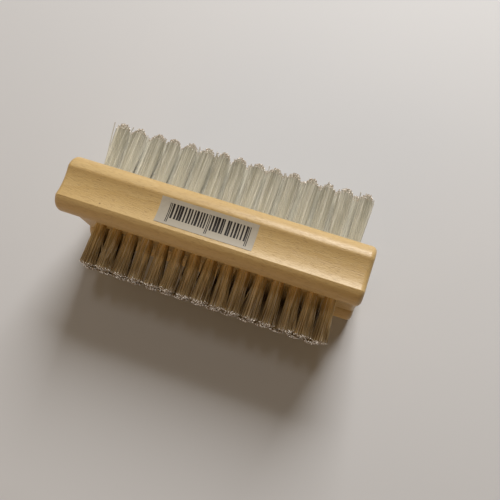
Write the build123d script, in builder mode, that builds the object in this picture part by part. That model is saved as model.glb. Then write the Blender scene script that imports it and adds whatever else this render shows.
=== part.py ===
# Double-sided wooden hand and nail brush, lying on one long grip side.
# +X runs along the block, +Y towards the long body bristles, -Y towards the short nail bristles.
# The origin is on the surface that the brush lies on, under the middle of its outline.
import os

from build123d import *

os.makedirs("parts", exist_ok=True)

# Block, in millimetres
block_length = 95.0
block_width = 39.0  # between the two grip sides
body_lip = 4.2  # from the block's middle to the body side's lip of the groove along each grip side
nail_lip = 5.2  # and to the nail side's lip
cove_depth = 0.9
body_lip_rounding = 1.6  # of the labelled groove's lips, one sanded softer than the other
nail_lip_rounding = 0.3
land_width = 1.0  # narrow flat inside each lip of the grip side that the brush lies on
face_offset = 6.5  # from the block's middle to either bristle face
bead_reach = 8.9  # from the block's middle to the outermost line of the beads
bead_radius = 5.0
end_rounding = 1.5

# Tufts
long_row = 15
short_row = 14
main_pitch = 5.8
main_row_gap = 4.2
main_length = 20.5
nail_pitch = 5.4
nail_row_gap = 9.3
nail_row_shift = nail_pitch / 4  # one nail row sits this far to the right, the other to the left
nail_length = 14.7
hole_radius = 1.7
hole_depth = 5.3  # below the bristle face
strand_size = 0.8
strand_root = 0.85  # from the tuft's middle to its outer strands, at the root
splay_x = 0.85  # how much further out they are at the tip
splay_z = 0.5

# Slice of the block's face that each row's strands are fused to
slice_thickness = 1.0
slice_height = 3.8
slice_margin = 2.4  # beyond the middle of the last tuft

# Anchors: a flat piece of wire across the fold of each tuft
anchor_width = 3.0
anchor_height = 1.6
anchor_thickness = 0.4

# Label
label_length = 30.0
label_width = 7.9
label_thickness = 0.1
label_x = -0.8
label_y = -0.1

# The bristles are longer on one side, so the block's middle is off the outline's middle.
middle_y = (nail_length - main_length) / 2
middle_z = block_width / 2
grip = block_width / 2
bead_y = bead_reach - bead_radius
cove_y = (body_lip - nail_lip) / 2
cove_half = (body_lip + nail_lip) / 2
lower_cove_half = cove_half - land_width
cove_radius = (cove_half**2 + cove_depth**2) / (2 * cove_depth)
lower_cove_radius = (lower_cove_half**2 + cove_depth**2) / (2 * cove_depth)

# The section is drawn at the block's left end, with x towards +Y and y towards +Z.
section_plane = Plane((-block_length / 2, middle_y, middle_z), x_dir=(0, 1, 0), z_dir=(1, 0, 0))
# Each bristle face has its normal along the bristles and its y towards +Z.
main_face = Plane((0, middle_y + face_offset, middle_z), x_dir=(-1, 0, 0), z_dir=(0, 1, 0))
nail_face = Plane((0, middle_y - face_offset, middle_z), x_dir=(1, 0, 0), z_dir=(0, -1, 0))

# Rows from the labelled grip side down: the row's middle on its face, and its number of tufts
main_rows = [
    (Vector(0, 1.5 * main_row_gap), long_row),
    (Vector(0, 0.5 * main_row_gap), short_row),
    (Vector(0, -0.5 * main_row_gap), long_row),
    (Vector(0, -1.5 * main_row_gap), short_row),
]
nail_rows = [
    (Vector(nail_row_shift, 0.5 * nail_row_gap), long_row),
    (Vector(-nail_row_shift, -0.5 * nail_row_gap), long_row),
]


def tuft_bed(face, pitch, middle, count):
    """What one row takes out of the block: its slice of the face and its blind holes."""
    with BuildPart() as bed:
        with BuildSketch(face):
            with Locations(middle):
                Rectangle(pitch * (count - 1) + 2 * slice_margin, slice_height)
        extrude(amount=-slice_thickness)
        with BuildSketch(face):
            with Locations(middle):
                with GridLocations(pitch, pitch, count, 1):
                    Circle(hole_radius)
        extrude(amount=-hole_depth)
    return bed.part


def tuft_anchors(face, pitch, middle, count):
    """One row's flat wire anchors, standing at the bottom of the holes."""
    with BuildPart() as wires:
        with BuildSketch(face.offset(-hole_depth)):
            with Locations(middle):
                with GridLocations(pitch, pitch, count, 1):
                    Rectangle(anchor_width, anchor_thickness)
        extrude(amount=anchor_height)
    return wires.part


def bristle_row(face, pitch, middle, count, length, bed, wires):
    """One row of tufts: slice and packed roots round the anchors, and five strands a tuft."""
    with BuildPart() as row:
        add(bed)
        add(wires, mode=Mode.SUBTRACT)
        for side_x, side_z in ((0, 0), (-1, -1), (1, -1), (-1, 1), (1, 1)):
            with BuildSketch(face):
                with Locations(middle + Vector(side_x, side_z) * strand_root):
                    with GridLocations(pitch, pitch, count, 1):
                        Rectangle(strand_size, strand_size)
            lean = (
                face.x_dir * side_x * splay_x
                + face.y_dir * side_z * splay_z
                + face.z_dir * length
            )
            extrude(amount=lean.length, dir=lean)
    return row.part


main_beds = [tuft_bed(main_face, main_pitch, *row) for row in main_rows]
nail_beds = [tuft_bed(nail_face, nail_pitch, *row) for row in nail_rows]
main_wires = [tuft_anchors(main_face, main_pitch, *row) for row in main_rows]
nail_wires = [tuft_anchors(nail_face, nail_pitch, *row) for row in nail_rows]

# Block: a bead at each corner, a groove along each grip side and a flat bristle face each way
with BuildPart() as block:
    with BuildSketch(section_plane) as section:
        with BuildLine():
            RadiusArc((-nail_lip, grip), (body_lip, grip), -cove_radius)
            for side, lip in ((1, body_lip), (-1, nail_lip)):
                bead_z = grip - (bead_radius**2 - (lip - bead_y) ** 2) ** 0.5
                face_edge_z = bead_z - (bead_radius**2 - (face_offset - bead_y) ** 2) ** 0.5
                bead = ThreePointArc(
                    (side * lip, grip), (side * bead_reach, bead_z), (side * face_offset, face_edge_z)
                )
                face = Line(bead @ 1, (side * face_offset, -face_edge_z))
                lower_bead = ThreePointArc(face @ 1, (side * bead_reach, -bead_z), (side * lip, -grip))
                Line(lower_bead @ 1, (side * (lip - land_width), -grip))
            lower_lips = (body_lip - land_width, -grip), (land_width - nail_lip, -grip)
            RadiusArc(*lower_lips, -lower_cove_radius)
        make_face()
        for side, rounding in ((1, body_lip_rounding), (-1, nail_lip_rounding)):
            lips = section.vertices().filter_by(lambda v: v.Y > grip - 0.01 and v.X * side > 0)
            fillet(lips, rounding)
    extrude(amount=block_length)
    ends = block.faces().sort_by(Axis.X)
    fillet(ends[0].edges() + ends[-1].edges(), end_rounding)
    add(main_beds + nail_beds, mode=Mode.SUBTRACT)
block.part.label = "block"
export_step(block.part, "parts/block.step")

# Body bristles: four staggered rows, the first nearest to the labelled grip side
for number, (row, bed, wires) in enumerate(zip(main_rows, main_beds, main_wires), start=1):
    bristles = bristle_row(main_face, main_pitch, *row, main_length, bed, wires)
    bristles.label = f"main_bristles_{number}"
    export_step(bristles, f"parts/{bristles.label}.step")

# Nail bristles: two staggered rows of shorter tufts, further apart
for number, (row, bed, wires) in enumerate(zip(nail_rows, nail_beds, nail_wires), start=1):
    bristles = bristle_row(nail_face, nail_pitch, *row, nail_length, bed, wires)
    bristles.label = f"nail_bristles_{number}"
    export_step(bristles, f"parts/{bristles.label}.step")

# Anchors of each side, one to a hole
with BuildPart() as main_anchors:
    add(main_wires)
main_anchors.part.label = "main_anchors"
export_step(main_anchors.part, "parts/main_anchors.step")

with BuildPart() as nail_anchors:
    add(nail_wires)
nail_anchors.part.label = "nail_anchors"
export_step(nail_anchors.part, "parts/nail_anchors.step")

# Label: a paper strip that lies in the upper groove, almost from edge to edge
cove_middle = (cove_y, grip - cove_depth + cove_radius)
with BuildPart() as label:
    with BuildSketch(section_plane.offset((block_length - label_length) / 2 + label_x)):
        with Locations(cove_middle):
            Circle(cove_radius)
            Circle(cove_radius - label_thickness, mode=Mode.SUBTRACT)
        with Locations((label_y, grip)):
            Rectangle(label_width, 4 * cove_depth, mode=Mode.INTERSECT)
    extrude(amount=label_length)
label.part.label = "label"
export_step(label.part, "parts/label.step")
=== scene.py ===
# %% [markdown]
# # A double-sided wooden nail brush
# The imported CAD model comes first, as a frame that nothing here moves. It is in metres, with +X along the
# wooden block, +Y towards the long bristles and +Z up, and the brush lies on the floor at Z = 0.
# The block, the paper label and the wire anchors have their right shape in the CAD model already, so they
# only need finishes. The CAD bristles are a few thick strands a tuft, so full tufts take their place.

# %% Load the frame
import math
import random

import bpy
from mathutils import Matrix, Quaternion, Vector


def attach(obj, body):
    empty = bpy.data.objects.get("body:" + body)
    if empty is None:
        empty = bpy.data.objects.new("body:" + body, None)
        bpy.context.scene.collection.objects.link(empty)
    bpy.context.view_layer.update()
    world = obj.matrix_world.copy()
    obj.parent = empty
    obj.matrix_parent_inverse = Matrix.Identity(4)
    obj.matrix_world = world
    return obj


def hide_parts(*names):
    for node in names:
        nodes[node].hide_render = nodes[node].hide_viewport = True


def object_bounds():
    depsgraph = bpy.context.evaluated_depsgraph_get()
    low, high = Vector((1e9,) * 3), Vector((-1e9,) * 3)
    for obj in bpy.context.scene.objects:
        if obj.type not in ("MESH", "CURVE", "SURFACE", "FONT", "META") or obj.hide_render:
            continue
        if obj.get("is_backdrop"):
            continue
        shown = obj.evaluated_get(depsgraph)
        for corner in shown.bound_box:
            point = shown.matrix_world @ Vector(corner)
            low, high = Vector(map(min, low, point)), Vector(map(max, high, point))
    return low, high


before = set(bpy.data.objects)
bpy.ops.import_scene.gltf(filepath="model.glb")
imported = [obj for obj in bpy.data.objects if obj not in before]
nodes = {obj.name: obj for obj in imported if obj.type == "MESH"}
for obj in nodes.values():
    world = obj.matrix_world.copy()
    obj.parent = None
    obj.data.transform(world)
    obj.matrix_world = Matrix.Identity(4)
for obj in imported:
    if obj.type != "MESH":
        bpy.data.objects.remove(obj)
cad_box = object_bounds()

MM = 0.001
print("CAD nodes:", ", ".join(sorted(nodes)))

# %% [markdown]
# ## Small helpers
# Most steps select one object before they work on it, because Blender's operators act on all that is
# selected. A material is a tree of nodes, and one helper adds a node with its options, its numbers and its
# links in a single call. The kinds of node that come up again and again get a short name each.

# %% Select and coat pieces
def only(piece):
    """Make one object the whole selection, and the active one."""
    bpy.ops.object.select_all(action="DESELECT")
    piece.select_set(True)
    bpy.context.view_layer.objects.active = piece


def coat(piece, *materials):
    """Give a piece these materials instead of its own."""
    piece.data.materials.clear()
    for material in materials:
        piece.data.materials.append(material)


print("helpers for pieces ready")

# %% Add nodes
def put(tree, kind, inputs=None, **options):
    """Add a node. An input takes a number, a colour, or another node's output to link."""
    made = tree.nodes.new(kind)
    for name, value in options.items():
        setattr(made, name, value)
    for name, value in (inputs or {}).items():
        if isinstance(value, bpy.types.NodeSocket):
            tree.links.new(value, made.inputs[name])
        else:
            made.inputs[name].default_value = value
    return made


def new_finish(name):
    """A new material, its tree and its Principled shader."""
    material = bpy.data.materials.new(name)
    material.use_nodes = True
    return material, material.node_tree, material.node_tree.nodes["Principled BSDF"]


def blend_colours(tree, amount, first, second):
    """The mix of two colours, by a 0 to 1 amount. A Mix node has its colours in slots 6 and 7."""
    return put(tree, "ShaderNodeMix", {0: amount, 6: first, 7: second}, data_type="RGBA").outputs[2]


def calculate(tree, operation, first, second=0.0):
    """One Math node with two inputs."""
    return put(tree, "ShaderNodeMath", {0: first, 1: second}, operation=operation).outputs[0]


def map_range(tree, value, given=(0.0, 1.0), wanted=(0.0, 1.0)):
    """A value between two given limits becomes one between two wanted limits, and stays within them."""
    limits = {"From Min": given[0], "From Max": given[1], "To Min": wanted[0], "To Max": wanted[1]}
    return put(tree, "ShaderNodeMapRange", {"Value": value, **limits}).outputs[0]


print("helpers for nodes ready")

# %% [markdown]
# ## Camera
# The photograph looks down on the brush from a hand's height, from its near right corner, with the camera
# turned a little. The camera here is placed as a photographer would do it: pick the point to look at, the
# direction and the distance, then roll the camera about its own axis. The lens is the one that gives the same
# perspective, so the far end is as much smaller as it is in the photograph.

# %% Place the camera
look_at = Vector((13.85, -6.78, 39.0)) * MM
looking = Vector((-0.15581, 0.21346, -0.96445))
distance = 155.3 * MM
roll = math.radians(-17.55)

bpy.ops.object.camera_add(location=look_at - looking.normalized() * distance)
camera = bpy.context.object
camera.name = "camera"
camera.data.lens = 39.93
camera.data.sensor_width = 36.0
camera.data.clip_start = 0.01
camera.rotation_mode = "QUATERNION"
camera.rotation_quaternion = looking.to_track_quat("-Z", "Y") @ Quaternion((0, 0, 1), roll)
bpy.context.scene.camera = camera
print("camera at", [round(c / MM, 1) for c in camera.location], "mm")

# %% [markdown]
# ## Floor and light
# The floor is plain and pale. A broad soft lamp beyond the long bristles rakes over the block and leaves its
# near side in shade. A small weak one hangs overhead, a large warm one stands on the near side, where a room
# throws light back from its walls, and a faint one at the near left corner lightens the short bristles there.
# The camera sees the surrounding light as a plain pale backdrop.

# %% Lay the floor
floor_size = 6.0
bpy.ops.mesh.primitive_plane_add(size=floor_size, location=(0, 0, 0))
floor = bpy.context.object
floor.name = "floor"
floor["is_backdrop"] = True

paint, tree, shader = new_finish("pale_floor")
shader.inputs["Base Color"].default_value = (0.62, 0.63, 0.66, 1)
shader.inputs["Roughness"].default_value = 0.7
coat(floor, paint)
print("floor:", floor_size, "m wide")

# %% Hang the lamps
lit_point = Vector((0, 0, 0.02))  # about the middle of the brush


def hang_lamp(name, place, size, power, colour):
    """Add a square area lamp, in metres and watts, turned towards the brush."""
    bpy.ops.object.light_add(type="AREA", location=place)
    lamp = bpy.context.object
    lamp.name = name
    lamp.data.size = size
    lamp.data.energy = power
    lamp.data.color = colour
    lamp.rotation_mode = "QUATERNION"
    lamp.rotation_quaternion = (lit_point - Vector(place)).to_track_quat("-Z", "Y")


hang_lamp("window_light", (0.06, 0.66, 0.52), size=0.35, power=7.8, colour=(1.0, 0.97, 0.92))
hang_lamp("ceiling_light", (0.02, 0.22, 0.80), size=0.12, power=0.5, colour=(1.0, 0.96, 0.90))
hang_lamp("room_light", (-0.30, -0.85, 0.22), size=0.6, power=1.7, colour=(1.0, 0.66, 0.34))
hang_lamp("corner_light", (-0.62, -0.36, 0.16), size=0.25, power=0.5, colour=(1.0, 0.90, 0.78))

# %% Set the backdrop
world = bpy.data.worlds.new("studio")
bpy.context.scene.world = world
world.use_nodes = True
around = world.node_tree
fill = around.nodes["Background"]
fill.inputs["Color"].default_value = (1.0, 0.72, 0.42, 1)
fill.inputs["Strength"].default_value = 0.10
backdrop = put(around, "ShaderNodeBackground", {"Color": (0.80, 0.79, 0.77, 1)})
by_camera = put(around, "ShaderNodeLightPath").outputs["Is Camera Ray"]
either = put(around, "ShaderNodeMixShader", {0: by_camera, 1: fill.outputs[0], 2: backdrop.outputs[0]})
around.links.new(either.outputs[0], around.nodes["World Output"].inputs["Surface"])
bpy.context.scene.view_settings.view_transform = "Standard"
print("world:", world.name)

# %% [markdown]
# ## A shared pattern
# Wood fibres, paper, drawn wire and nylon all vary in the same way: small soft spots that are stretched along
# the material. One node group makes that pattern from a spot size in metres and a stretch along each axis,
# and every material uses it with its own numbers.

# %% Build the pattern group
def add_socket(group, name, kind, way, value=None):
    """Give a node group one named input or output."""
    made = group.interface.new_socket(name=name, in_out=way, socket_type=kind)
    if value is not None:
        made.default_value = value


pattern_group = bpy.data.node_groups.new("stretched_spots", "ShaderNodeTree")
add_socket(pattern_group, "Vector", "NodeSocketVector", "INPUT")
add_socket(pattern_group, "Spot Size", "NodeSocketFloat", "INPUT", 0.001)
add_socket(pattern_group, "Stretch", "NodeSocketVector", "INPUT", (1, 1, 1))
add_socket(pattern_group, "Detail", "NodeSocketFloat", "INPUT", 2.0)
add_socket(pattern_group, "Low", "NodeSocketFloat", "INPUT", 0.35)
add_socket(pattern_group, "High", "NodeSocketFloat", "INPUT", 0.65)
add_socket(pattern_group, "Pattern", "NodeSocketFloat", "OUTPUT")

given = put(pattern_group, "NodeGroupInput").outputs
stretched = {0: given["Vector"], 1: given["Stretch"]}
squeezed = put(pattern_group, "ShaderNodeVectorMath", stretched, operation="DIVIDE")
scale = calculate(pattern_group, "DIVIDE", 1.0, given["Spot Size"])
noise = {"Vector": squeezed.outputs[0], "Scale": scale, "Detail": given["Detail"]}
spots = put(pattern_group, "ShaderNodeTexNoise", noise)
ranged = map_range(pattern_group, spots.outputs["Fac"], (given["Low"], given["High"]))
put(pattern_group, "NodeGroupOutput", {"Pattern": ranged})
print("pattern group:", [s.name for s in pattern_group.interface.items_tree])

# %% Place the pattern group
def pattern(tree, vector, size, stretch=(1, 1, 1), detail=2.0, low=0.35, high=0.65):
    """Place the pattern group in a tree with these values, and return its output."""
    values = {"Vector": vector, "Spot Size": size, "Stretch": stretch}
    values |= {"Detail": detail, "Low": low, "High": high}
    return put(tree, "ShaderNodeGroup", values, node_tree=pattern_group).outputs["Pattern"]


print("pattern ready")

# %% [markdown]
# ## Varnished wood
# The block is a pale, even, fine-grained wood under a satin varnish. All of its pattern is laid out in three
# dimensions along X, as in the plank it was cut from. So the groove shows wavy lines where it cuts across the
# growth rings, the ends show end grain, and the slices of face under the tufts carry on where the block's
# own face stops. The rings are slanted layers, pushed about by a slow noise so that their lines wander.

# %% Lay out the grain
wood, tree, shader = new_finish("varnished_wood")
place = put(tree, "ShaderNodeTexCoord").outputs["Object"]

wander = put(tree, "ShaderNodeTexNoise", {"Vector": place, "Scale": 60.0, "Detail": 2.0})
pushes = {0: wander.outputs["Color"], 1: (4 * MM, 4 * MM, 4 * MM), 2: place}
pushed = put(tree, "ShaderNodeVectorMath", pushes, operation="MULTIPLY_ADD")
tilt = (math.radians(24), math.radians(2), 0)
turned = put(tree, "ShaderNodeMapping", {"Vector": pushed.outputs[0], "Rotation": tilt, "Scale": (0.3, 1, 1)})
rings = put(
    tree,
    "ShaderNodeTexWave",
    {"Vector": turned.outputs[0], "Scale": 120.0, "Distortion": 1.5, "Detail": 2.0, "Detail Scale": 1.0},
    bands_direction="Z",
    wave_profile="SAW",
)
fibres = pattern(tree, place, 0.22 * MM, (26, 1, 1), detail=3.0, low=0.3, high=0.7)
flecks = pattern(tree, place, 0.20 * MM, (9, 1, 1), detail=1.0, low=0.57, high=0.67)
grains = pattern(tree, place, 0.30 * MM, (3, 1, 1), detail=1.0, low=0.3, high=0.7)
clouds = pattern(tree, place, 9.0 * MM, (2.5, 1, 1), low=0.3, high=0.7)
print("grain laid out")

# %% [markdown]
# The colour starts with the rings. Lighter fibres, broad clouds and short dark flecks are blended over it one
# after the other. Three pin specks follow: tiny dark knots, each the near side of a soft-edged ball.

# %% Colour the wood
tone = blend_colours(tree, rings.outputs["Fac"], (0.56, 0.395, 0.172, 1), (0.50, 0.335, 0.130, 1))
tone = blend_colours(tree, calculate(tree, "MULTIPLY", fibres, 0.35), tone, (0.60, 0.44, 0.21, 1))
tone = blend_colours(tree, calculate(tree, "MULTIPLY", clouds, 0.25), tone, (0.54, 0.355, 0.135, 1))
tone = blend_colours(tree, calculate(tree, "MULTIPLY", flecks, 0.4), tone, (0.32, 0.19, 0.075, 1))

speck_core, speck_edge, speck_depth = 0.15 * MM, 0.4 * MM, 0.75
for speck in ((-39.25, 0.55, 38.3), (-17.45, 0.75, 38.3), (-33.0, -7.05, 38.5)):
    away = put(tree, "ShaderNodeVectorMath", {0: place, 1: Vector(speck) * MM}, operation="DISTANCE")
    dot = map_range(tree, away.outputs["Value"], (speck_core, speck_edge), (speck_depth, 0.0))
    tone = blend_colours(tree, dot, tone, (0.11, 0.05, 0.025, 1))
tree.links.new(tone, shader.inputs["Base Color"])
print("wood coloured")

# %% [markdown]
# Varnish sinks in and leaves the fibres a little proud and the flecks a little low. A thin coat lies over it.

# %% Varnish the wood
tree.links.new(map_range(tree, fibres, wanted=(0.40, 0.55)), shader.inputs["Roughness"])
ridges = calculate(tree, "MULTIPLY", calculate(tree, "ADD", fibres, grains), 0.6)
ridges = calculate(tree, "SUBTRACT", ridges, flecks)
relief = put(tree, "ShaderNodeBump", {"Strength": 0.45, "Distance": 0.06 * MM, "Height": ridges})
tree.links.new(relief.outputs[0], shader.inputs["Normal"])
shader.inputs["Coat Weight"].default_value = 0.2
shader.inputs["Coat Roughness"].default_value = 0.25
coat(nodes["block"], wood)
print("wood nodes:", len(tree.nodes))

# %% [markdown]
# ## Paper label
# A small sticker lies in the groove: smooth, slightly grey paper with a printed pattern of bars. The bars
# here stand for nothing. The strip is divided into cells along X, and a white noise gives each cell's bar its
# own start and width. The first, middle and last cells hold two thin bars that run on further down.

# %% Lay out the bars
paper, tree, shader = new_finish("label_paper")
place = put(tree, "ShaderNodeTexCoord").outputs["Object"]
across = put(tree, "ShaderNodeSeparateXYZ", {0: place}).outputs
cells = 27
bars_from, bars_to = -12.8 * MM, 12.4 * MM
thinnest, widest, last_end, thin_pair = 0.4, 0.85, 0.95, 0.55  # in shares of a cell, or of half of one

along = calculate(tree, "SUBTRACT", across["X"], bars_from)
along = calculate(tree, "MULTIPLY", along, cells / (bars_to - bars_from))
cell = calculate(tree, "FLOOR", along)
in_cell = calculate(tree, "FRACT", along)
chance = put(tree, "ShaderNodeTexWhiteNoise", {"W": cell}, noise_dimensions="1D")
chances = put(tree, "ShaderNodeSeparateColor", {0: chance.outputs["Color"]}).outputs
width = map_range(tree, chances[1], wanted=(thinnest, widest))
start = calculate(tree, "MULTIPLY", chances[0], calculate(tree, "SUBTRACT", last_end, width))
in_half = calculate(tree, "FRACT", calculate(tree, "MULTIPLY", in_cell, 2.0))
pairs = calculate(tree, "LESS_THAN", in_half, thin_pair)
is_guard = calculate(tree, "LESS_THAN", calculate(tree, "MODULO", cell, (cells - 1) / 2), 0.5)
print("cells:", cells)

# %% Print the bars
bars_top, bars_bottom, long_bars_bottom = -0.3 * MM, -4.8 * MM, -6.2 * MM


def between(value, low, high):
    """1 where a value lies between two others, and 0 elsewhere."""
    above = calculate(tree, "GREATER_THAN", value, low)
    return calculate(tree, "MULTIPLY", above, calculate(tree, "LESS_THAN", value, high))


bars = between(in_cell, start, calculate(tree, "ADD", start, width))
drawn = put(tree, "ShaderNodeMix", {0: is_guard, 2: bars, 3: pairs}).outputs[0]
depth = map_range(tree, is_guard, wanted=(bars_bottom, long_bars_bottom))
printable = calculate(tree, "MULTIPLY", between(along, 0.0, cells), between(across["Y"], depth, bars_top))
ink = calculate(tree, "MULTIPLY", drawn, printable)
print("bars printed")

# %% [markdown]
# The paper gets darker towards its lower edge, a painted shade of the light falling across it, and it is
# slightly mottled all over.

# %% Finish the paper
pale_y, dark_y = 0.8 * MM, -7.0 * MM
mottle = pattern(tree, place, 1.2 * MM, detail=3.0)
# Painted shade: the paper's colour is darker towards its lower edge.
lower = map_range(tree, across["Y"], (pale_y, dark_y))
sheet = blend_colours(tree, lower, (0.50, 0.46, 0.385, 1), (0.37, 0.335, 0.275, 1))
sheet = blend_colours(tree, calculate(tree, "MULTIPLY", mottle, 0.3), sheet, (0.35, 0.32, 0.27, 1))
printed = blend_colours(tree, ink, sheet, (0.010, 0.007, 0.007, 1))
tree.links.new(printed, shader.inputs["Base Color"])
grain = put(tree, "ShaderNodeBump", {"Strength": 0.1, "Distance": 0.02 * MM, "Height": mottle})
tree.links.new(grain.outputs[0], shader.inputs["Normal"])
shader.inputs["Roughness"].default_value = 0.42
coat(nodes["label"], paper)
print("label finished")

# %% [markdown]
# ## Wire anchors
# A short flat piece of galvanised wire holds each tuft down in its hole. It hardly shows, but it gets its
# dull zinc finish like everything else.

# %% Finish the wire
zinc, tree, shader = new_finish("zinc_wire")
place = put(tree, "ShaderNodeTexCoord").outputs["Object"]
spangle = pattern(tree, place, 0.5 * MM, (3, 1, 1))
grey = blend_colours(tree, spangle, (0.42, 0.43, 0.44, 1), (0.60, 0.61, 0.62, 1))
tree.links.new(grey, shader.inputs["Base Color"])
tree.links.new(map_range(tree, spangle, wanted=(0.32, 0.5)), shader.inputs["Roughness"])
shader.inputs["Metallic"].default_value = 1.0
for name in ("main_anchors", "nail_anchors"):
    coat(nodes[name], zinc)
print("wire finished")

# %% [markdown]
# ## Where the tufts stand
# The block has a narrow flat face on either side. Four rows of long tufts stand on one, two rows of short
# tufts on the other, and each row is shifted against the next. The tone of the nylon and the tufts themselves
# both need these places, so they are worked out here from a few sizes.

# %% Measure the two sides
block_width = 39.0 * MM
face_offset = 6.5 * MM  # from the block's middle to either bristle face
long_side = {"name": "main", "way": 1, "pitch": 5.8 * MM, "length": 20.5 * MM}
short_side = {"name": "nail", "way": -1, "pitch": 5.4 * MM, "length": 14.7 * MM}

# The bristles are longer on one side, so the block's middle is off the middle of the outline.
middle_y = (short_side["length"] - long_side["length"]) / 2
middle_z = block_width / 2
for side in (long_side, short_side):
    side["face_y"] = middle_y + side["way"] * face_offset
    side["tip_y"] = side["face_y"] + side["way"] * side["length"]
    ends = [round(side[end] / MM, 2) for end in ("face_y", "tip_y")]
    print(side["name"], "bristles run along Y between these, in mm:", ends)

# %% Measure the rows
long_gap, short_gap = 4.2 * MM, 9.3 * MM
short_shift = short_side["pitch"] / 4  # one short row sits this far to the right, the other to the left
# Each row: its middle along X, its height above the block's middle, and its tufts
long_side["rows"] = [
    (0, 1.5 * long_gap, 15),
    (0, 0.5 * long_gap, 14),
    (0, -0.5 * long_gap, 15),
    (0, -1.5 * long_gap, 14),
]
short_side["rows"] = [(short_shift, 0.5 * short_gap, 15), (-short_shift, -0.5 * short_gap, 15)]


def tuft_places(side, middle, height, count):
    """Where a row's tufts leave the bristle face."""
    first_x = middle - (count - 1) / 2 * side["pitch"]
    return [Vector((first_x + i * side["pitch"], side["face_y"], middle_z + height)) for i in range(count)]


for side in (long_side, short_side):
    print(side["name"], "tufts:", sum(count for *_, count in side["rows"]))

# %% [markdown]
# ## The tone of nylon
# The bristles are clear nylon that bundling makes milky. Streaks along the filament vary its tone, and a few
# filaments get a painted highlight where they would catch the light. Near its root the nylon gets a painted
# warm light in the colour of the wood, for the light that the wood throws back into it. The rows behind the
# first get painted light and shade in their tone: lighter among the long tufts, which are lit from beyond,
# and darker among the short ones, which stand in the block's shade and show it in the gaps, a third of the
# way out.
# Both sides vary alike but with other colours, so the tone is a node group that each nylon places with its
# own values.

# %% Name what the nylon's tone is made from
nylon_tone = bpy.data.node_groups.new("nylon_tone", "ShaderNodeTree")
add_socket(nylon_tone, "Vector", "NodeSocketVector", "INPUT")
for name in ("Spot Size", "Root Y", "Tip Y", "First Row Z", "Rows Behind Z"):
    add_socket(nylon_tone, name, "NodeSocketFloat", "INPUT")
for name in ("Dark", "Light", "Painted Root Light", "Tip Tint", "Colour Behind"):
    add_socket(nylon_tone, name, "NodeSocketColor", "INPUT")
# How much of the painted root light shows at the root, and of the painted colour behind at three places along
# the filament
for name in ("Root Share", "Share At Root", "Share Part Way", "Share At Tip"):
    add_socket(nylon_tone, name, "NodeSocketFloat", "INPUT")
add_socket(nylon_tone, "Colour", "NodeSocketColor", "OUTPUT")
add_socket(nylon_tone, "Streaks", "NodeSocketFloat", "OUTPUT")
print("nylon tone:", [s.name for s in nylon_tone.interface.items_tree])

# %% Streak it, and fade it from root to tip
given = put(nylon_tone, "NodeGroupInput").outputs
spot = put(nylon_tone, "ShaderNodeSeparateXYZ", {0: given["Vector"]}).outputs
streaks = pattern(nylon_tone, given["Vector"], given["Spot Size"], (1, 60, 1), detail=0.0)
out = map_range(nylon_tone, spot["Y"], (given["Root Y"], given["Tip Y"]))
tone = blend_colours(nylon_tone, streaks, given["Dark"], given["Light"])
tint = blend_colours(nylon_tone, out, (1, 1, 1, 1), given["Tip Tint"])
tone = put(nylon_tone, "ShaderNodeVectorMath", {0: tone, 1: tint}, operation="MULTIPLY").outputs[0]

root_fade = 1.7  # the higher, the sooner the root's colour is gone
# Painted warm light: near the root the tone is blended towards the wood's colour, and root_fade sets how soon
# it is gone.
near_root = calculate(nylon_tone, "POWER", calculate(nylon_tone, "SUBTRACT", 1.0, out), root_fade)
painted_root_light = calculate(nylon_tone, "MULTIPLY", near_root, given["Root Share"])
tone = blend_colours(nylon_tone, painted_root_light, tone, given["Painted Root Light"])
print("streaks and root done")

# %% Paint light and shade on the rows behind, and a highlight on a few filaments
part_way = 0.36
# Painted light and shade: below the first row the tone is blended towards the colour behind, lighter on the
# long side and darker on the short.
back = map_range(nylon_tone, spot["Z"], (given["First Row Z"], given["Rows Behind Z"]))
# The share runs in a straight line from root to part way, and in another one from there to the tip.
inner = map_range(nylon_tone, out, (0.0, part_way), (given["Share At Root"], given["Share Part Way"]))
change = calculate(nylon_tone, "SUBTRACT", given["Share At Tip"], given["Share Part Way"])
outer = map_range(nylon_tone, out, (part_way, 1.0), (0.0, change))
share = calculate(nylon_tone, "ADD", inner, outer)
hidden = calculate(nylon_tone, "MULTIPLY", back, share)
tone = blend_colours(nylon_tone, hidden, tone, given["Colour Behind"])

# Painted highlight: a few thin streaks are blended to near white, where filaments would catch the light.
painted_highlight = pattern(nylon_tone, given["Vector"], 0.25 * MM, (1, 90, 1), detail=0.0, low=0.66, high=0.71)
tone = blend_colours(nylon_tone, painted_highlight, tone, (1.0, 0.98, 0.93, 1))
put(nylon_tone, "NodeGroupOutput", {"Colour": tone, "Streaks": streaks})
print("nylon tone nodes:", len(nylon_tone.nodes))

# %% [markdown]
# ## Nylon
# Light that falls on one side of a filament leaves it on the other, so most of its shader is translucent, and
# a shadow ray passes it almost whole: that is why the rows behind are bright too. The shaders and the Light
# Path stay in the material, and only the tone comes from the group.

# %% Mix the nylon
nylon_ior = 1.53
milkiness = 0.65  # how much of the surface is translucent


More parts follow.
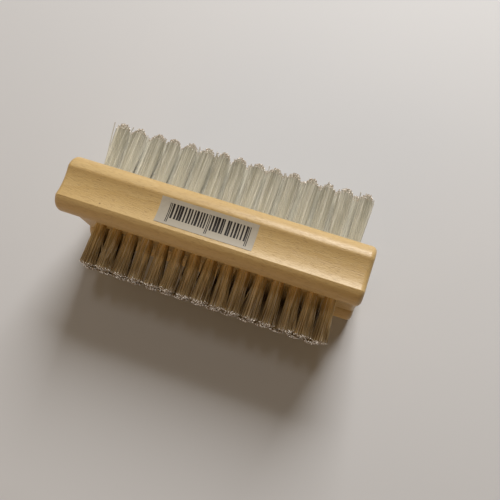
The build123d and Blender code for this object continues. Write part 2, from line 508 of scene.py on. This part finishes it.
def mix_nylon(name, tone_values, seen_through, shone_through):
    """Milky nylon in its own tone. The last two are the shares of sight and of lamplight that pass it."""
    material, tree, shader = new_finish(name)
    place = put(tree, "ShaderNodeTexCoord").outputs["Object"]
    tone = put(tree, "ShaderNodeGroup", {"Vector": place, **tone_values}, node_tree=nylon_tone).outputs
    tree.links.new(tone["Colour"], shader.inputs["Base Color"])
    tree.links.new(map_range(tree, tone["Streaks"], wanted=(0.24, 0.38)), shader.inputs["Roughness"])
    shader.inputs["IOR"].default_value = nylon_ior
    glow = put(tree, "ShaderNodeBsdfTranslucent", {"Color": tone["Colour"]})
    milky = put(tree, "ShaderNodeMixShader", {0: milkiness, 1: shader.outputs[0], 2: glow.outputs[0]})
    by_lamp = put(tree, "ShaderNodeLightPath").outputs["Is Shadow Ray"]
    clear = map_range(tree, by_lamp, wanted=(seen_through, shone_through))
    gap = put(tree, "ShaderNodeBsdfTransparent")
    both = put(tree, "ShaderNodeMixShader", {0: clear, 1: milky.outputs[0], 2: gap.outputs[0]})
    tree.links.new(both.outputs[0], tree.nodes["Material Output"].inputs["Surface"])
    return material


print("nylon recipe ready")

# %% Mix the long side's nylon
long_tone = {
    "Spot Size": 0.7 * MM,
    "Dark": (0.64, 0.62, 0.54, 1),
    "Light": (0.86, 0.845, 0.79, 1),
    "Root Y": long_side["face_y"],
    "Painted Root Light": (0.77, 0.75, 0.67, 1),
    "Root Share": 1.0,
    "Tip Y": long_side["tip_y"],
    "Tip Tint": (0.84, 0.83, 0.80, 1),
    "First Row Z": 25.5 * MM,
    "Rows Behind Z": 22.0 * MM,
    "Colour Behind": (0.88, 0.87, 0.82, 1),
    "Share At Root": 0.8,
    "Share Part Way": 0.8,
    "Share At Tip": 0.8,
}
long_side["finish"] = mix_nylon("long_nylon", long_tone, seen_through=0.3, shone_through=0.975)
print("mixed:", long_side["finish"].name)

# %% Mix the short side's nylon
short_tone = {
    "Spot Size": 0.4 * MM,
    "Dark": (0.32, 0.235, 0.125, 1),
    "Light": (0.98, 0.90, 0.70, 1),
    "Root Y": short_side["face_y"],
    "Painted Root Light": (1.0, 0.83, 0.43, 1),
    "Root Share": 0.8,
    "Tip Y": short_side["tip_y"],
    "Tip Tint": (0.86, 0.80, 0.68, 1),
    "First Row Z": 20.5 * MM,
    "Rows Behind Z": 18.0 * MM,
    "Colour Behind": (0.10, 0.055, 0.02, 1),
    "Share At Root": 0.1,
    "Share Part Way": 1.0,
    "Share At Tip": 0.15,
}
short_side["finish"] = mix_nylon("short_nylon", short_tone, seen_through=0.3, shone_through=0.955)
print("mixed:", short_side["finish"].name)

# %% [markdown]
# Where a filament was cut its end is crushed. Some ends get a painted glint: they are white and have a faint
# painted glow, for the light that the filament carries along its length and lets out there. The others are
# painted as dull as the shade between them.

# %% Mix the cut ends
cut_end, tree, shader = new_finish("cut_nylon")
place = put(tree, "ShaderNodeTexCoord").outputs["Object"]
# Painted glints and shade: a pattern picks the ends that are white and glow, and the rest are darkened like
# shade.
painted_glints = pattern(tree, place, 0.3 * MM, detail=1.0, low=0.56, high=0.64)
ends = blend_colours(tree, painted_glints, (0.34, 0.26, 0.18, 1), (0.98, 0.94, 0.88, 1))
tree.links.new(ends, shader.inputs["Base Color"])
shader.inputs["Roughness"].default_value = 0.5
shine = blend_colours(tree, painted_glints, (0.0, 0.0, 0.0, 1), (1.0, 0.94, 0.85, 1))
tree.links.new(shine, shader.inputs["Emission Color"])
shader.inputs["Emission Strength"].default_value = 0.45
print("cut ends mixed")

# %% [markdown]
# ## Slices of the bristle faces
# In the CAD model each row's strands are joined to a 1 mm slice of wood, which fills a shallow recess in the
# block. The slice is a strip with one hole a tuft, drilled with a cutter that is copied along the row, and
# the rim of each hole is softened, as sandpaper leaves it.

# %% Join and copy pieces
def join(pieces, name):
    """Join objects into one, under a new name."""
    bpy.ops.object.select_all(action="DESELECT")
    for piece in pieces:
        piece.select_set(True)
    bpy.context.view_layer.objects.active = pieces[0]
    bpy.ops.object.join()
    joined = bpy.context.object
    joined.name = joined.data.name = name
    return joined


def copy_of(piece, matrix, name):
    """A copy with its own mesh, moved in its mesh."""
    made = piece.copy()
    made.data = piece.data.copy()
    made.data.transform(matrix)
    made.name = name
    bpy.context.scene.collection.objects.link(made)
    return made


print("helpers for copies ready")

# %% Drill a slice
slice_thickness, slice_height = 1.0 * MM, 3.8 * MM
slice_margin = 2.4 * MM  # beyond the middle of the last tuft
hole_radius, hole_sides = 1.7 * MM, 32


def drilled_slice(side, row):
    """One row's strip of wood, with a hole through it for each tuft."""
    places = tuft_places(side, *row)
    middle = Vector((row[0], side["face_y"] - side["way"] * slice_thickness / 2, places[0].z))
    length = side["pitch"] * (len(places) - 1) + 2 * slice_margin
    bpy.ops.mesh.primitive_cube_add(size=1, location=middle, scale=(length, slice_thickness, slice_height))
    strip = bpy.context.object
    only(strip)
    bpy.ops.object.transform_apply(location=True, rotation=True, scale=True)
    bpy.ops.mesh.primitive_cylinder_add(
        vertices=hole_sides, radius=hole_radius, depth=3 * slice_thickness, rotation=(math.pi / 2, 0, 0)
    )
    drill = bpy.context.object
    only(drill)
    bpy.ops.object.transform_apply(location=True, rotation=True, scale=True)
    drills = [copy_of(drill, Matrix.Translation((p.x, middle.y, p.z)), "drill") for p in places]
    bpy.data.objects.remove(drill)
    drills = join(drills, "drills")
    only(strip)
    cut = strip.modifiers.new("holes", "BOOLEAN")
    cut.operation, cut.solver, cut.object = "DIFFERENCE", "EXACT", drills
    bpy.ops.object.modifier_apply(modifier=cut.name)
    bpy.data.objects.remove(drills)
    return strip


print("holes:", round(2 * hole_radius / MM, 1), "mm wide")

# %% Soften the rims of its holes
rim_bevel = 0.12 * MM
near_face = 0.01 * MM
off_ends, off_sides = 0.3 * MM, 0.1 * MM  # a rim's edges stay this far inside the strip's own edges
longest_rim_edge = 0.5 * MM


def soften_rims(strip, face_y):
    """Bevel the edges round the holes where they meet the face."""
    only(strip)
    bpy.ops.object.mode_set(mode="EDIT")
    bpy.ops.mesh.select_mode(type="EDGE")
    bpy.ops.mesh.select_all(action="DESELECT")
    bpy.ops.object.mode_set(mode="OBJECT")
    corners = [v.co.copy() for v in strip.data.vertices]
    left, right = min(c.x for c in corners) + off_ends, max(c.x for c in corners) - off_ends
    bottom, top = min(c.z for c in corners) + off_sides, max(c.z for c in corners) - off_sides
    for edge in strip.data.edges:
        ends = [corners[i] for i in edge.vertices]
        at_face = all(abs(c.y - face_y) < near_face for c in ends)
        inside = all(left < c.x < right and bottom < c.z < top for c in ends)
        short = (ends[0] - ends[1]).length < longest_rim_edge
        edge.select = at_face and inside and short
    bpy.ops.object.mode_set(mode="EDIT")
    bpy.ops.mesh.bevel(offset=rim_bevel, segments=2, affect="EDGES")
    bpy.ops.object.mode_set(mode="OBJECT")


print("rims softened by", round(rim_bevel / MM, 2), "mm")

# %% Make the slices of both faces
for side in (long_side, short_side):
    strips = []
    for row in side["rows"]:
        strip = drilled_slice(side, row)
        soften_rims(strip, side["face_y"])
        strips.append(strip)
    face = join(strips, f"{side['name']}_face_slices")
    only(face)
    bpy.ops.object.shade_smooth_by_angle(angle=math.radians(35))
    coat(face, wood)
    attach(face, "root")
    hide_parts(*[f"{side['name']}_bristles_{i + 1}" for i in range(len(side["rows"]))])
    print(face.name, len(face.data.polygons), "faces")

# %% [markdown]
# ## One filament
# A filament starts as a small five-sided disc at the bottom of its hole and is extruded upwards in steps: out
# of the hole, then almost to the tip, then over a short tapered end, which is where the cutter crushed it.
# Spreading the tuft later widens everything in it, so each step is made narrower beforehand.

# %% Size the filaments
root_depth = 3.6 * MM
end_length, end_taper = 0.18 * MM, 0.7
filament_sides = 5
long_side["radius"], short_side["radius"] = 0.135 * MM, 0.175 * MM
# Each step: how far along the filament, and how wide the tuft is there along the row and across it
long_side["steps"] = [(0.10, 1.20, 1.20), (0.30, 1.32, 1.30), (0.65, 1.42, 1.35), (0.985, 1.45, 1.35)]
short_side["steps"] = [(0.12, 1.23, 1.15), (0.45, 1.32, 1.21), (0.75, 1.45, 1.25), (0.98, 1.56, 1.30)]
print("filaments:", filament_sides, "sides,", len(long_side["steps"]), "steps")

# %% Model the filament
def model_filament(side):
    """One upright filament, with its face plane at Z = 0."""
    bpy.ops.object.select_all(action="DESELECT")
    bpy.ops.mesh.primitive_circle_add(
        vertices=filament_sides, radius=side["radius"], fill_type="NGON", location=(0, 0, 0)
    )
    filament = bpy.context.object
    filament.data.transform(Matrix.Translation((0, 0, -root_depth)))
    bpy.ops.object.mode_set(mode="EDIT")
    bpy.ops.mesh.select_all(action="SELECT")
    rises = [0.0] + [rise * side["length"] for rise, along, across in side["steps"]]
    widths = [1.0] + [(along + across) / 2 for rise, along, across in side["steps"]]
    below, wide = -root_depth, 1.0
    for rise, width in zip(rises, widths):
        narrower = math.sqrt(wide / width)
        bpy.ops.mesh.extrude_region_move(TRANSFORM_OT_translate={"value": (0, 0, rise - below)})
        bpy.ops.transform.resize(value=(narrower, narrower, 1), center_override=(0, 0, 0))
        below, wide = rise, width
    bpy.ops.mesh.extrude_region_move(TRANSFORM_OT_translate={"value": (0, 0, side["length"] - below)})
    bpy.ops.transform.resize(value=(end_taper, end_taper, 1), center_override=(0, 0, 0))
    bpy.ops.mesh.select_all(action="SELECT")
    bpy.ops.mesh.normals_make_consistent(inside=False)
    bpy.ops.object.mode_set(mode="OBJECT")
    only(filament)
    bpy.ops.object.shade_smooth_by_angle(angle=math.radians(80))
    coat(filament, side["finish"], cut_end)
    for face in filament.data.polygons:
        face.material_index = int(face.center.z > side["length"] - end_length)
    filament.name = f"{side['name']}_filament"
    return filament


for side in (long_side, short_side):
    side["filament"] = model_filament(side)
    print(side["filament"].name, len(side["filament"].data.polygons), "faces")

# %% [markdown]
# ## A few tufts
# A tuft is a bundle of such filaments, packed as evenly as seeds in a sunflower. Each copy leans and ends a
# little differently, a few stray further, and the outer ones are trimmed shorter. Then the bundle is spread
# in steps, each about the tuft's own axis, wider along the row than across it. A handful of different tufts
# is enough for a side.

# %% Bundle a tuft
rng = random.Random(11)
long_side["filaments"], short_side["filaments"] = 120, 70
long_side["dome"], short_side["dome"] = 0.11, 0.03  # how much shorter the outermost filaments are
trim_spread = 0.012
bundle_radius = 1.5 * MM
golden_angle = math.pi * (3 - math.sqrt(5))
usual_lean, stray_lean = math.radians(0.45), math.radians(3.0)
stray_every = 24


def random_lean(spread):
    """A rotation by two random small angles."""
    return Matrix.Rotation(rng.gauss(0, spread), 4, "X") @ Matrix.Rotation(rng.gauss(0, spread), 4, "Y")


def model_tuft(side, number):
    """One upright bundle of filaments, not spread yet."""
    copies = []
    for i in range(side["filaments"]):
        out = math.sqrt((i + 0.5) / side["filaments"])
        turn = i * golden_angle + number
        spot = Vector((math.cos(turn), math.sin(turn), 0)) * out * bundle_radius
        lean = random_lean(stray_lean if i % stray_every == stray_every - 1 else usual_lean)
        spin = Matrix.Rotation(rng.uniform(0, math.tau), 4, "Z")
        trim = 1 - side["dome"] * out**2 - abs(rng.gauss(0, trim_spread))
        place = Matrix.Translation(spot) @ lean @ spin @ Matrix.Diagonal((1, 1, trim, 1))
        copies.append(copy_of(side["filament"], place, "filament"))
    return join(copies, f"{side['name']}_tuft_{number}")


print("filaments a tuft:", long_side["filaments"], "and", short_side["filaments"])

# %% Spread the tufts
tuft_kinds = 5


def spread_tuft(tuft, side):
    """Widen a bundle above each step, about its own axis."""
    only(tuft)
    wide_x = wide_y = 1.0
    below = 0.0
    for rise, along, across in side["steps"]:
        limit = (rise + below) / 2 * side["length"]
        bpy.ops.object.mode_set(mode="OBJECT")
        for v in tuft.data.vertices:
            v.select = v.co.z > limit
        for part in (tuft.data.edges, tuft.data.polygons):
            for item in part:
                item.select = all(tuft.data.vertices[k].select for k in item.vertices)
        bpy.ops.object.mode_set(mode="EDIT")
        bpy.ops.transform.resize(value=(along / wide_x, across / wide_y, 1), center_override=(0, 0, 0))
        below, wide_x, wide_y = rise, along, across
    bpy.ops.object.mode_set(mode="OBJECT")


for side in (long_side, short_side):
    side["tufts"] = [model_tuft(side, number) for number in range(tuft_kinds)]
    for tuft in side["tufts"]:
        spread_tuft(tuft, side)
    print(side["name"], "tuft:", len(side["tufts"][0].data.polygons), "faces")

# %% [markdown]
# ## Rows of tufts
# Each row is set with copies of those tufts. A copy is laid down to point along Y, may be turned half round,
# and leans a degree or two, because no two holes are filled alike. The short tufts all lean a little to the
# right as well. One row is one piece, as in the CAD model.

# %% Set the rows
long_side["push"], short_side["push"] = 0.0, math.radians(3.0)
tuft_lean = math.radians(0.9)


def set_row(side, number, places):
    """One row of tufts, as the piece that replaces that row's strands."""
    row = []
    lay_down = Matrix.Rotation(-side["way"] * math.pi / 2, 4, "X")
    push = Matrix.Rotation(side["push"], 4, "Y")
    for i, spot in enumerate(places):
        half_turn = Matrix.Rotation(math.pi * rng.randint(0, 1), 4, "Z")
        tuft = side["tufts"][(i * 2 + number) % tuft_kinds]
        place = Matrix.Translation(spot) @ lay_down @ push @ random_lean(tuft_lean) @ half_turn
        row.append(copy_of(tuft, place, "tuft"))
    row = join(row, f"{side['name']}_tufts_{number}")
    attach(row, "root")
    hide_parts(f"{side['name']}_bristles_{number}")
    return row


for side in (long_side, short_side):
    for number, row in enumerate(side["rows"], start=1):
        tufts = set_row(side, number, tuft_places(side, *row))
        print(tufts.name, len(tufts.data.polygons), "faces")
    for helper in [side["filament"], *side["tufts"]]:
        bpy.data.objects.remove(helper)

# %% [markdown]
# ## Print the sizes
# The visual model is meant to stay inside the CAD model's box, so both boxes are printed side by side.

# %% Print the boxes
seen_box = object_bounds()
for name, box in (("CAD", cad_box), ("visual", seen_box)):
    print(name, "box:", [[round(c / MM, 2) for c in corner] for corner in box])
